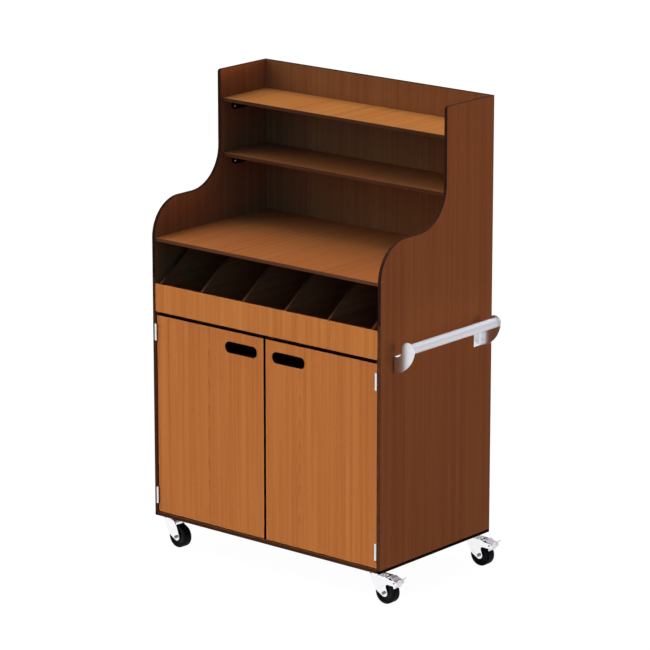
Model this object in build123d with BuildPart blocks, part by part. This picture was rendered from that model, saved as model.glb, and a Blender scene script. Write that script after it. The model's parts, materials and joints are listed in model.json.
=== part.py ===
from build123d import *
import os
from math import cos, hypot, radians, sin

os.makedirs("parts", exist_ok=True)

# ---------------------------------------------------------------------------
# Driving dimensions, in millimetres.
# Frame: +X to the right seen from the front, +Y to the back, +Z up.
# The origin is on the floor, under the middle of the unit's overall box.
# ---------------------------------------------------------------------------
WIDTH = 1000.0          # over the side panels
DEPTH = 592.0           # front edge of the side panels to the back
HEIGHT = 1516.0         # side panels alone
CASTER_H = 107.0        # floor to the underside of the carcass
T = 12.0                # laminate-faced board
T_BIN = 10.0            # bin boards

# outline of the side panels, from their front lower corner
SHOULDER_Z = 1115.0     # height of the shoulder
SHOULDER_R = 130.0      # convex curve from the front edge to the shoulder
NECK_R = 140.0          # concave curve from the shoulder to the upright
UPRIGHT_Y = 340.4       # front edge of the upright
TOP_R = 10.0            # front top corner

WORKTOP_Z = 986.5       # top faces
SHELF_UP_Z = 1416.5
SHELF_LOW_Z = 1224.0
CUP_SHELF_Z = 378.0
SHELF_Y = 349.0         # front edge of the display shelves
WORKTOP_Y = 4.0         # front edge of the worktop

RAIL_Z0, RAIL_Z1 = 729.2, 829.0
DECK_Z = 730.0          # top face of the board under the bins
DECK_Y = 20.0
BIN_SLOPE = 0.70        # rise over run of the bin walls' front edges
BIN_PITCH = 185.8
BIN_Y = 14.0            # front of the bin walls, behind the rail
BIN_NOSE_Y = 2.0        # their sloping edges run out over the rail

DOOR_Y = 3.5            # how far the doors sit behind the front edges
DOOR_Z0, DOOR_Z1 = 15.8, 717.0
DOOR_SIDE_GAP = 3.0
DOOR_MID_GAP = 8.0
SLOT_W, SLOT_H, SLOT_Z, SLOT_X = 141.0, 38.0, 660.0, 104.3

HINGE_L = 58.0
HINGE_Z = (76.0, 658.0)
HINGE_AX = 15.5         # pin axis from the outer face of the side panel
HINGE_AY = -2.9         # pin axis in front of the front edges
BARREL_R = 4.1
PIN_R = 2.0
LEAF_T = 1.2
LEAF_Y = 1.6            # where the leaves begin, clear of the knuckles

HANDLE_OUT = 63.5       # bar axis from the outer face of the side panel
HANDLE_Z = 762.0
HANDLE_R = 17.0
HANDLE_END_R = 25.5     # rounded end of the bracket webs
HANDLE_Y0, HANDLE_Y1 = 65.0, 527.0
BR_T = 3.0              # bracket sheet
BR_Z0, BR_Z1 = 674.0, 731.0
BR_FLANGE = 36.0

CASTER_IN = 40.0        # swivel axis from the edges
TRAIL = 43.0
WHEEL_R = 39.5
WHEEL_W = 33.0
AXLE_Z = WHEEL_R - CASTER_H     # from the carcass underside
FORK_IN = 17.5          # half the gap between the fork legs
FORK_T = 2.5
CLEAT = (35.0, 12.0, 8.0)       # height, reach and corner radius of a shelf support

# corner of the carcass in the part's own frame
X0 = -(WIDTH + HANDLE_OUT + HANDLE_END_R) / 2
Y0 = -(DEPTH + HINGE_AY - BARREL_R) / 2
Z0 = CASTER_H
X1 = X0 + WIDTH
Y1 = Y0 + DEPTH
XM = X0 + WIDTH / 2


def save(piece, name):
    """Label a finished piece and write it out."""
    piece.label = name
    export_step(piece, "parts/" + name + ".step")


def in_from(side, d):
    """X of a point d inside the outer face of the left (1) or right (-1) side panel."""
    return X0 + d if side > 0 else X1 - d


def slab(x0, x1, y0, y1, z0, z1, mode=Mode.ADD):
    """A board between two opposite corners, measured from the carcass corner in y and z."""
    with Locations(((x0 + x1) / 2, Y0 + (y0 + y1) / 2, Z0 + z0)):
        Box(x1 - x0, y1 - y0, z1 - z0, align=(Align.CENTER, Align.CENTER, Align.MIN), mode=mode)


def peg(origin, direction, radius, length, mode=Mode.ADD):
    """A round pin or a round hole that starts at origin and runs along direction."""
    with Locations(Plane(origin=origin, z_dir=direction)):
        Cylinder(radius, length, align=(Align.CENTER, Align.CENTER, Align.MIN), mode=mode)


def taper(origin, direction, r0, r1, length, mode=Mode.ADD):
    """A cone from radius r0 at origin to radius r1 at the end of its length."""
    with Locations(Plane(origin=origin, z_dir=direction)):
        Cone(r0, r1, length, align=(Align.CENTER, Align.CENTER, Align.MIN), mode=mode)


# ---------------------------------------------------------------------------
# Where the hidden dowels and the visible screws go
# ---------------------------------------------------------------------------
DOWEL_R, DOWEL_L, DOWEL_IN = 4.0, 30.0, 9.0
DOWELS = {
    "bottom_panel": [(y, T / 2) for y in (80.0, 300.0, 520.0)],
    "bin_deck": [(y, DECK_Z - T / 2) for y in (80.0, 300.0, 520.0)],
    "worktop": [(y, WORKTOP_Z - T / 2) for y in (80.0, 300.0, 520.0)],
    "front_rail": [(T / 2, 752.0), (T / 2, 807.0)],
    "back_panel": [(DEPTH - T / 2, z) for z in (130.0, 560.0, 1060.0, 1450.0)],
}
ALL_DOWELS = [p for pts in DOWELS.values() for p in pts]
CLEATS = [(397.0, 562.0, z - T) for z in (SHELF_UP_Z, SHELF_LOW_Z)] + [(85.0, 532.0, CUP_SHELF_Z - T)]
CLEAT_SCREW = 24.5      # screws below a support's top
CLEAT_SCREWS = [(y, z - CLEAT_SCREW) for y0, y1, z in CLEATS for y in (y0 + 8.5, y1 - 12.0)]
HINGE_SCREW_DZ = (-20.0, 0.0, 20.0)
HINGE_SCREW_Y = 9.0     # in the frame leaves; the door leaves' screws are offset from them
HINGE_SCREW_DY = 1.5
HANDLE_SCREW_Z = (689.5, 714.5)
HANDLE_SCREW_Y = (HANDLE_Y0 + 20.0, HANDLE_Y1 - 20.0)


def dowel_holes(name, side):
    """Dowel holes in one end of a board."""
    for y, z in DOWELS[name]:
        peg((in_from(side, T), Y0 + y, Z0 + z), (side, 0, 0), DOWEL_R, DOWEL_L - DOWEL_IN + 1, Mode.SUBTRACT)


# ---------------------------------------------------------------------------
# Carcass
# ---------------------------------------------------------------------------
for side, panel_name in ((1, "left_side_panel"), (-1, "right_side_panel")):
    inner = in_from(side, T)
    with BuildPart() as side_panel:
        with BuildSketch(Plane.YZ.offset(X0 if side > 0 else X1 - T)):
            with BuildLine():
                cy, cz = Y0 + SHOULDER_R, Z0 + SHOULDER_Z - SHOULDER_R
                ny, nz = Y0 + UPRIGHT_Y - NECK_R, Z0 + SHOULDER_Z + NECK_R
                ty, tz = Y0 + UPRIGHT_Y + TOP_R, Z0 + HEIGHT - TOP_R
                k = sin(radians(45))
                Line((Y0, Z0), (Y0, cz))
                ThreePointArc((Y0, cz), (cy - SHOULDER_R * k, cz + SHOULDER_R * k), (cy, Z0 + SHOULDER_Z))
                Line((cy, Z0 + SHOULDER_Z), (ny, Z0 + SHOULDER_Z))
                ThreePointArc((ny, Z0 + SHOULDER_Z), (ny + NECK_R * k, nz - NECK_R * k), (ny + NECK_R, nz))
                Line((ny + NECK_R, nz), (Y0 + UPRIGHT_Y, tz))
                ThreePointArc((Y0 + UPRIGHT_Y, tz), (ty - TOP_R * k, tz + TOP_R * k), (ty, Z0 + HEIGHT))
                Polyline((ty, Z0 + HEIGHT), (Y1, Z0 + HEIGHT), (Y1, Z0), (Y0, Z0))
            make_face()
        extrude(amount=T)
        for y, z in ALL_DOWELS:
            peg((inner, Y0 + y, Z0 + z), (-side, 0, 0), DOWEL_R, DOWEL_IN, Mode.SUBTRACT)
        for y, z in CLEAT_SCREWS:
            peg((inner, Y0 + y, Z0 + z), (-side, 0, 0), 2.05, 9.5, Mode.SUBTRACT)
        for hz in HINGE_Z:
            for dz in HINGE_SCREW_DZ:
                peg((inner, Y0 + HINGE_SCREW_Y, Z0 + hz + dz), (-side, 0, 0), 1.55, 9.5, Mode.SUBTRACT)
        if side < 0:
            for y in HANDLE_SCREW_Y:
                for z in HANDLE_SCREW_Z:
                    peg((X1, Y0 + y, Z0 + z), (-1, 0, 0), 2.25, 10.0, Mode.SUBTRACT)
    save(side_panel.part, panel_name)

with BuildPart() as back_panel:
    slab(X0 + T, X1 - T, DEPTH - T, DEPTH, 0, HEIGHT)
    dowel_holes("back_panel", 1)
    dowel_holes("back_panel", -1)
save(back_panel.part, "back_panel")

CASTERS = {
    "front_left": (X0 + CASTER_IN, Y0 + CASTER_IN, -4.0, False),
    "front_right": (X1 - CASTER_IN, Y0 + CASTER_IN, 0.0, True),
    "rear_left": (X0 + CASTER_IN, Y1 - CASTER_IN, 0.0, False),
    "rear_right": (X1 - CASTER_IN, Y1 - CASTER_IN, 0.0, True),
}
PLATE, PLATE_T, PLATE_GRID = 58.0, 3.0, 40.0
CASTER_HOLES = [(cx + dx * PLATE_GRID / 2, cy + dy * PLATE_GRID / 2)
                for cx, cy, _, _ in CASTERS.values() for dx in (-1, 1) for dy in (-1, 1)]

with BuildPart() as bottom_panel:
    slab(X0 + T, X1 - T, 0.0, DEPTH - T, 0, T)
    dowel_holes("bottom_panel", 1)
    dowel_holes("bottom_panel", -1)
    for x, y in CASTER_HOLES:
        peg((x, y, Z0), (0, 0, 1), 2.45, 10.0, Mode.SUBTRACT)
save(bottom_panel.part, "bottom_panel")

with BuildPart() as worktop:
    slab(X0 + T, X1 - T, WORKTOP_Y, DEPTH - T, WORKTOP_Z - T, WORKTOP_Z)
    dowel_holes("worktop", 1)
    dowel_holes("worktop", -1)
save(worktop.part, "worktop")

with BuildPart() as bin_deck:
    slab(X0 + T, X1 - T, DECK_Y, DEPTH - T, DECK_Z - T, DECK_Z)
    dowel_holes("bin_deck", 1)
    dowel_holes("bin_deck", -1)
save(bin_deck.part, "bin_deck")

with BuildPart() as front_rail:
    slab(X0 + T, X1 - T, 0.0, T, RAIL_Z0, RAIL_Z1)
    dowel_holes("front_rail", 1)
    dowel_holes("front_rail", -1)
save(front_rail.part, "front_rail")

with BuildPart() as carcass_dowels:
    for side in (1, -1):
        for y, z in ALL_DOWELS:
            peg((in_from(side, T - DOWEL_IN + 0.5), Y0 + y, Z0 + z), (side, 0, 0), DOWEL_R - 0.02, DOWEL_L - 0.5)
save(carcass_dowels.part, "carcass_dowels")

# loose shelves: a millimetre of room at each end, resting on their supports
for shelf_name, y, z in (("display_shelf_upper", SHELF_Y, SHELF_UP_Z),
                         ("display_shelf_lower", SHELF_Y, SHELF_LOW_Z),
                         ("cupboard_shelf", 60.0, CUP_SHELF_Z)):
    with BuildPart() as shelf:
        slab(X0 + T + 1, X1 - T - 1, y, DEPTH - T - 1, z - T, z)
    save(shelf.part, shelf_name)

# black battens screwed to the side panels, one under each end of a shelf
with BuildPart() as shelf_supports:
    h, reach, corner = CLEAT
    for side in (1, -1):
        for y0, y1, z in CLEATS:
            slab(min(in_from(side, T), in_from(side, T + reach)), max(in_from(side, T), in_from(side, T + reach)), y0, y1, z - h, z)
    lower = [Z0 + z - h for _, _, z in CLEATS]
    fillet(shelf_supports.edges().filter_by(Axis.X).filter_by(
        lambda e: min(abs(e.center().Z - v) for v in lower) < 0.01), radius=corner)
    for side in (1, -1):
        for y, z in CLEAT_SCREWS:
            peg((in_from(side, T), Y0 + y, Z0 + z), (side, 0, 0), 2.1, reach, Mode.SUBTRACT)
            taper((in_from(side, T + reach - 1.2), Y0 + y, Z0 + z), (side, 0, 0), 2.1, 4.7, 1.21, Mode.SUBTRACT)
save(shelf_supports.part, "shelf_supports")

with BuildPart() as shelf_support_screws:
    for side in (1, -1):
        for y, z in CLEAT_SCREWS:
            peg((in_from(side, T - 9), Y0 + y, Z0 + z), (side, 0, 0), 2.0, reach + 9)
            taper((in_from(side, T + reach - 1.15), Y0 + y, Z0 + z), (side, 0, 0), 2.0, 4.55, 1.15)
            taper((in_from(side, T + reach), Y0 + y, Z0 + z), (side, 0, 0), 4.55, 2.8, 1.3)
save(shelf_support_screws.part, "shelf_support_screws")

# ---------------------------------------------------------------------------
# Divided bins under the worktop: floor, back and six walls with sloping fronts
# ---------------------------------------------------------------------------
BIN_X0 = XM - 2.5 * BIN_PITCH - T_BIN / 2
BIN_X1 = XM + 2.5 * BIN_PITCH + T_BIN / 2
BIN_Z0 = DECK_Z + T_BIN
BIN_Z1 = WORKTOP_Z - T - 1.5

with BuildPart() as bin_floor:
    slab(BIN_X0, BIN_X1, DECK_Y, DEPTH - T, DECK_Z, BIN_Z0)
save(bin_floor.part, "bin_floor")

with BuildPart() as bin_back:
    slab(BIN_X0, BIN_X1, DEPTH - T - T_BIN, DEPTH - T, BIN_Z0, BIN_Z1)
save(bin_back.part, "bin_back")

BIN_WALLS = ["bin_end_wall_left", "bin_divider_1", "bin_divider_2", "bin_divider_3", "bin_divider_4", "bin_end_wall_right"]
for i, wall_name in enumerate(BIN_WALLS):
    top_y = (BIN_Z1 - RAIL_Z1) / BIN_SLOPE
    with BuildPart() as bin_wall:
        with BuildSketch(Plane.YZ.offset(BIN_X0 + i * BIN_PITCH)):
            with BuildLine():
                Polyline((Y0 + BIN_Y, Z0 + BIN_Z0), (Y0 + BIN_Y, Z0 + RAIL_Z1 + 0.3), (Y0 + BIN_NOSE_Y, Z0 + RAIL_Z1 + 0.3),
                         (Y0 + BIN_NOSE_Y, Z0 + RAIL_Z1 + BIN_SLOPE * BIN_NOSE_Y), (Y0 + top_y, Z0 + BIN_Z1), (Y0 + DEPTH - T - T_BIN, Z0 + BIN_Z1),
                         (Y0 + DEPTH - T - T_BIN, Z0 + BIN_Z0), close=True)
            make_face()
        extrude(amount=T_BIN)
    save(bin_wall.part, wall_name)

# ---------------------------------------------------------------------------
# Doors, hinges and catches
# ---------------------------------------------------------------------------
DOOR_BACK = DOOR_Y + T
CATCH_X, CATCH_Z = 46.0, 703.0
for side, word in ((1, "left"), (-1, "right")):
    edge = in_from(side, T + DOOR_SIDE_GAP)
    meet = XM - side * DOOR_MID_GAP / 2
    slot_x = XM - side * SLOT_X
    with BuildPart() as door:
        with BuildSketch(Plane.XZ.offset(-(Y0 + DOOR_Y))):
            with Locations(((edge + meet) / 2, Z0 + (DOOR_Z0 + DOOR_Z1) / 2)):
                Rectangle(abs(meet - edge), DOOR_Z1 - DOOR_Z0)
            with Locations((slot_x, Z0 + SLOT_Z)):
                SlotOverall(SLOT_W, SLOT_H, mode=Mode.SUBTRACT)
        extrude(amount=-T)
        slot_edges = door.edges().filter_by(GeomType.CIRCLE).filter_by(lambda e: abs(e.radius - SLOT_H / 2) < 0.01)
        chamfer(slot_edges, length=1.0)
        for hz in HINGE_Z:
            for dz in HINGE_SCREW_DZ:
                peg((edge, Y0 + HINGE_SCREW_Y + HINGE_SCREW_DY, Z0 + hz + dz), (side, 0, 0), 1.55, 12.5, Mode.SUBTRACT)
        peg((XM - side * CATCH_X, Y0 + DOOR_BACK, Z0 + CATCH_Z), (0, -1, 0), 1.5, 8.0, Mode.SUBTRACT)
    save(door.part, word + "_door")

    # steel strike disc on the back of the door, on its own pressed-in stud
    with BuildPart() as strike:
        peg((XM - side * CATCH_X, Y0 + DOOR_BACK, Z0 + CATCH_Z), (0, 1, 0), 8.5, 1.4)
        peg((XM - side * CATCH_X, Y0 + DOOR_BACK, Z0 + CATCH_Z), (0, -1, 0), 1.48, 7.5)
    save(strike.part, word + "_catch_strike")

    # door leaves of the two butt hinges: two knuckles each, between the frame leaf's three
    ax, ay = in_from(side, HINGE_AX), Y0 + HINGE_AY
    knuckle = HINGE_L / 5
    with BuildPart() as door_leaves:
        for hz in HINGE_Z:
            z0 = Z0 + hz - HINGE_L / 2
            lx = in_from(side, T + DOOR_SIDE_GAP - LEAF_T / 2)
            with Locations((lx, Y0 + LEAF_Y, Z0 + hz)):
                Box(LEAF_T, DOOR_BACK - 0.2 - LEAF_Y, HINGE_L, align=(Align.CENTER, Align.MIN, Align.CENTER))
            for n in (1, 3):
                zk = z0 + n * knuckle
                with Locations((lx, ay, zk + 0.2)):
                    Box(LEAF_T, LEAF_Y - HINGE_AY + 0.5, knuckle - 0.4, align=(Align.CENTER, Align.MIN, Align.MIN))
                peg((ax, ay, zk + 0.2), (0, 0, 1), BARREL_R, knuckle - 0.4)
                peg((ax, ay, zk - 0.5), (0, 0, 1), PIN_R + 0.05, knuckle + 1.0, Mode.SUBTRACT)
            for dz in HINGE_SCREW_DZ:
                taper((in_from(side, T + DOOR_SIDE_GAP), Y0 + HINGE_SCREW_Y + HINGE_SCREW_DY, Z0 + hz + dz), (-side, 0, 0), 1.6, 3.3, LEAF_T + 0.01, Mode.SUBTRACT)
    save(door_leaves.part, word + "_hinge_leaves")

    with BuildPart() as door_screws:
        for hz in HINGE_Z:
            for dz in HINGE_SCREW_DZ:
                p = (edge, Y0 + HINGE_SCREW_Y + HINGE_SCREW_DY, Z0 + hz + dz)
                taper(p, (-side, 0, 0), 1.5, 3.1, LEAF_T - 0.1)
                peg(p, (side, 0, 0), 1.5, 12.0)
    save(door_screws.part, word + "_hinge_screws")

with BuildPart() as frame_leaves:
    for side in (1, -1):
        ax, ay = in_from(side, HINGE_AX), Y0 + HINGE_AY
        lx = in_from(side, T + LEAF_T / 2)
        for hz in HINGE_Z:
            z0 = Z0 + hz - HINGE_L / 2
            with Locations((lx, Y0 + LEAF_Y, Z0 + hz)):
                Box(LEAF_T, 16.0, HINGE_L, align=(Align.CENTER, Align.MIN, Align.CENTER))
            for n in (0, 2, 4):
                zk = z0 + n * knuckle
                with Locations((lx, ay, zk + (0.2 if n else 0.0))):
                    Box(LEAF_T, LEAF_Y - HINGE_AY + 0.5, knuckle - (0.4 if n == 2 else 0.2), align=(Align.CENTER, Align.MIN, Align.MIN))
                peg((ax, ay, zk + (0.2 if n else 0.0)), (0, 0, 1), BARREL_R, knuckle - (0.4 if n == 2 else 0.2))
                peg((ax, ay, zk - 0.5), (0, 0, 1), PIN_R, knuckle + 1.0, Mode.SUBTRACT)
            for dz in HINGE_SCREW_DZ:
                taper((in_from(side, T), Y0 + HINGE_SCREW_Y, Z0 + hz + dz), (side, 0, 0), 1.6, 3.3, LEAF_T + 0.01, Mode.SUBTRACT)
save(frame_leaves.part, "hinge_frame_leaves")

with BuildPart() as hinge_pins:
    for side in (1, -1):
        for hz in HINGE_Z:
            p = (in_from(side, HINGE_AX), Y0 + HINGE_AY, Z0 + hz - HINGE_L / 2)
            peg(p, (0, 0, 1), PIN_R, HINGE_L)
            taper((p[0], p[1], p[2] + HINGE_L), (0, 0, 1), 3.3, 2.4, 1.1)
            taper(p, (0, 0, -1), 3.3, 2.4, 1.1)
save(hinge_pins.part, "hinge_pins")

with BuildPart() as frame_screws:
    for side in (1, -1):
        for hz in HINGE_Z:
            for dz in HINGE_SCREW_DZ:
                p = (in_from(side, T), Y0 + HINGE_SCREW_Y, Z0 + hz + dz)
                taper(p, (side, 0, 0), 1.5, 3.1, LEAF_T - 0.1)
                peg(p, (-side, 0, 0), 1.5, 9.0)
save(frame_screws.part, "hinge_frame_screws")

# magnetic catches under the front of the bin deck, one behind each door's free corner
with BuildPart() as magnetic_catches:
    for side in (1, -1):
        x = XM - side * CATCH_X
        slab(x - 23, x + 23, DOOR_BACK + 4.0, DOOR_BACK + 19.0, 696.0, DECK_Z - T)
        slab(x - 8, x + 8, DOOR_BACK + 2.0, DOOR_BACK + 4.0, 697.5, 708.5)
save(magnetic_catches.part, "magnetic_catches")

# ---------------------------------------------------------------------------
# Push handle on the right side panel
# ---------------------------------------------------------------------------
bar_x, bar_z = X1 + HANDLE_OUT, Z0 + HANDLE_Z
with BuildPart() as handle_bar:
    with BuildSketch(Plane.XZ.offset(-(Y0 + HANDLE_Y0 + BR_T))):
        with Locations((bar_x, bar_z)):
            Circle(HANDLE_R)
            Circle(HANDLE_R - 2.0, mode=Mode.SUBTRACT)
    extrude(amount=-(HANDLE_Y1 - HANDLE_Y0 - 2 * BR_T))
save(handle_bar.part, "handle_bar")

for bracket_name, web_y, inward in (("handle_bracket_front", HANDLE_Y0, 1), ("handle_bracket_rear", HANDLE_Y1, -1)):
    with BuildPart() as bracket:
        # web: a rounded plate square to the bar, its lower edge curving back to the panel
        with BuildSketch(Plane.XZ.offset(-(Y0 + web_y))):
            with BuildLine():
                a_r = radians(-12)
                a_l = radians(197)
                right = (bar_x + HANDLE_END_R * cos(a_r), bar_z + HANDLE_END_R * sin(a_r))
                left = (bar_x + HANDLE_END_R * cos(a_l), bar_z + HANDLE_END_R * sin(a_l))
                ThreePointArc(right, (bar_x, bar_z + HANDLE_END_R), left)
                ThreePointArc(left, (X1 + 30.5, Z0 + BR_Z1 + 8.5), (X1 + 16.0, Z0 + BR_Z1))
                Polyline((X1 + 16.0, Z0 + BR_Z1), (X1, Z0 + BR_Z1), (X1, Z0 + BR_Z0), (X1 + 16.0, Z0 + BR_Z0 + 2.0))
                ThreePointArc((X1 + 16.0, Z0 + BR_Z0 + 2.0), (X1 + 67.0, Z0 + 709.5), right)
            make_face()
        extrude(amount=-inward * BR_T)
        # flange screwed to the panel, on the side that faces the other bracket
        y_far = web_y + inward * BR_FLANGE
        slab(X1, X1 + BR_T, min(web_y, y_far), max(web_y, y_far), BR_Z0, BR_Z1)
        outer_bend = bracket.edges().filter_by(Axis.Z).filter_by(
            lambda e: abs(e.center().X - X1) < 0.01 and abs(e.center().Y - (Y0 + web_y)) < 0.01)
        fillet(outer_bend, radius=6.0)
        inner_bend = bracket.edges().filter_by(Axis.Z).filter_by(
            lambda e: abs(e.center().X - X1 - BR_T) < 0.01 and abs(e.center().Y - (Y0 + web_y + inward * BR_T)) < 0.01)
        fillet(inner_bend, radius=4.0)
        # spigot that carries the tube
        peg((bar_x, Y0 + web_y + inward * BR_T, bar_z), (0, inward, 0), HANDLE_R - 2.02, 14.0)
        hole_y = HANDLE_SCREW_Y[0] if inward > 0 else HANDLE_SCREW_Y[1]
        for z in HANDLE_SCREW_Z:
            peg((X1, Y0 + hole_y, Z0 + z), (1, 0, 0), 2.4, BR_T, Mode.SUBTRACT)
    save(bracket.part, bracket_name)

with BuildPart() as handle_screws:
    for y in HANDLE_SCREW_Y:
        for z in HANDLE_SCREW_Z:
            peg((X1 + BR_T, Y0 + y, Z0 + z), (-1, 0, 0), 2.2, BR_T + 9.5)
            peg((X1 + BR_T, Y0 + y, Z0 + z), (1, 0, 0), 4.3, 1.0)
            taper((X1 + BR_T + 1.0, Y0 + y, Z0 + z), (1, 0, 0), 4.3, 2.6, 1.4)
            with Locations((X1 + BR_T + 2.4, Y0 + y, Z0 + z)):
                Box(1.8, 0.9, 4.4, mode=Mode.SUBTRACT)
                Box(1.8, 4.4, 0.9, mode=Mode.SUBTRACT)
save(handle_screws.part, "handle_screws")

# ---------------------------------------------------------------------------
# Casters
# ---------------------------------------------------------------------------
RACE_R, RACE_Z = 20.0, -6.5
BALL_R, BALL_RING, BALLS = 2.4, 14.5, 12
SKIRT_R, SKIRT_H = 22.6, 7.7
FORK_TOP = -12.2
FORK_PLATE = 3.0
KING_R = 5.0
FORK_END_R = 13.5       # round lower ends of the fork legs
GROOVE_X, GROOVE_R, GROOVE_DEEP = 15.8, 14.0, 0.9   # pressed groove down the outside of each leg
BRAKE_PIVOT = (85.0, -26.5)
PEDAL_T = 2.2
# middle of the pedal's sheet: curled start, hood over the wheel, dip over the pivot, foot plate
PEDAL_PATH = [(57.3, -17.5), (57.9, -14.4), (60.0, -12.2), (63.5, -11.3), (68.0, -11.8), (73.0, -13.9), (79.0, -17.3), (85.0, -20.5),
              (90.0, -22.2), (94.5, -21.8), (98.0, -19.3), (108.0, -10.4)]

with BuildPart() as caster_top_plates:
    for cx, cy, _, _ in CASTERS.values():
        with BuildSketch(Plane.XY.offset(Z0)):
            with Locations((cx, cy)):
                RectangleRounded(PLATE, PLATE, 7.0)
        extrude(amount=-PLATE_T)
        peg((cx, cy, Z0 - PLATE_T), (0, 0, -1), RACE_R, -RACE_Z - PLATE_T)
        peg((cx, cy, Z0 + 1), (0, 0, -1), KING_R, 20.0, Mode.SUBTRACT)
    for x, y in CASTER_HOLES:
        peg((x, y, Z0 + 1), (0, 0, -1), 3.0, 10.0, Mode.SUBTRACT)
save(caster_top_plates.part, "caster_top_plates")

with BuildPart() as caster_kingpins:
    for cx, cy, _, _ in CASTERS.values():
        peg((cx, cy, Z0 - 0.4), (0, 0, -1), KING_R, -FORK_TOP + FORK_PLATE + 3.2)
        peg((cx, cy, Z0 + FORK_TOP - FORK_PLATE - 0.4), (0, 0, -1), 9.0, 2.2)
        taper((cx, cy, Z0 + FORK_TOP - FORK_PLATE - 2.6), (0, 0, -1), 9.0, 5.5, 1.6)
save(caster_kingpins.part, "caster_kingpins")

with BuildPart() as caster_swivel_balls:
    for cx, cy, _, _ in CASTERS.values():
        with Locations((cx, cy, Z0 + RACE_Z - BALL_R - 0.35)):
            with PolarLocations(BALL_RING, BALLS):
                Sphere(BALL_R)
save(caster_swivel_balls.part, "caster_swivel_balls")

with BuildPart() as caster_screws:
    for x, y in CASTER_HOLES:
        peg((x, y, Z0 - PLATE_T), (0, 0, -1), 4.4, 1.0)
        taper((x, y, Z0 - PLATE_T - 1.0), (0, 0, -1), 4.4, 2.8, 1.6)
        peg((x, y, Z0 - PLATE_T), (0, 0, 1), 2.4, PLATE_T + 9.5)
save(caster_screws.part, "caster_screws")

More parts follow.
